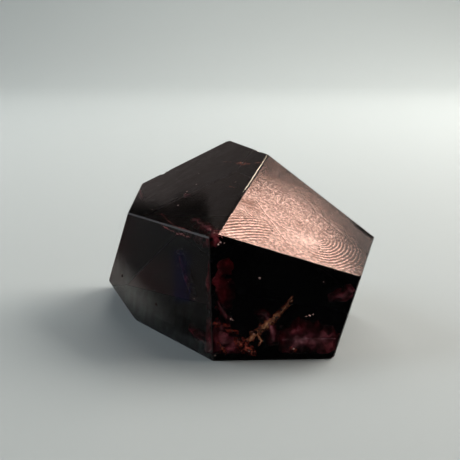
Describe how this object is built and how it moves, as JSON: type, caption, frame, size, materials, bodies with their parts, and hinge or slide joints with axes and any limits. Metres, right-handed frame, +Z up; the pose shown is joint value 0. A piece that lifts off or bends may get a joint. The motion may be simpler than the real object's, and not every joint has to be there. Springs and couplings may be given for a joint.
{
  "type": "garnet crystal",
  "caption": "Loose dark red garnet crystal with ground and polished flat faces, blunted edges and a flat base to rest on.",
  "frame": {"origin": "middle of the stone's footprint box, on its ground base", "axes": "+Z up from the base, -Y out of the dark front face, +X to the right of someone facing that front"},
  "size_m": [0.0446, 0.0424, 0.0269],
  "materials": {
    "garnet": "ground and polished, almost black wine red, dark crimson where the stone is thin"
  },
  "bodies": {
    "root": {"garnet_crystal": "garnet"}
  },
  "joints": []
}
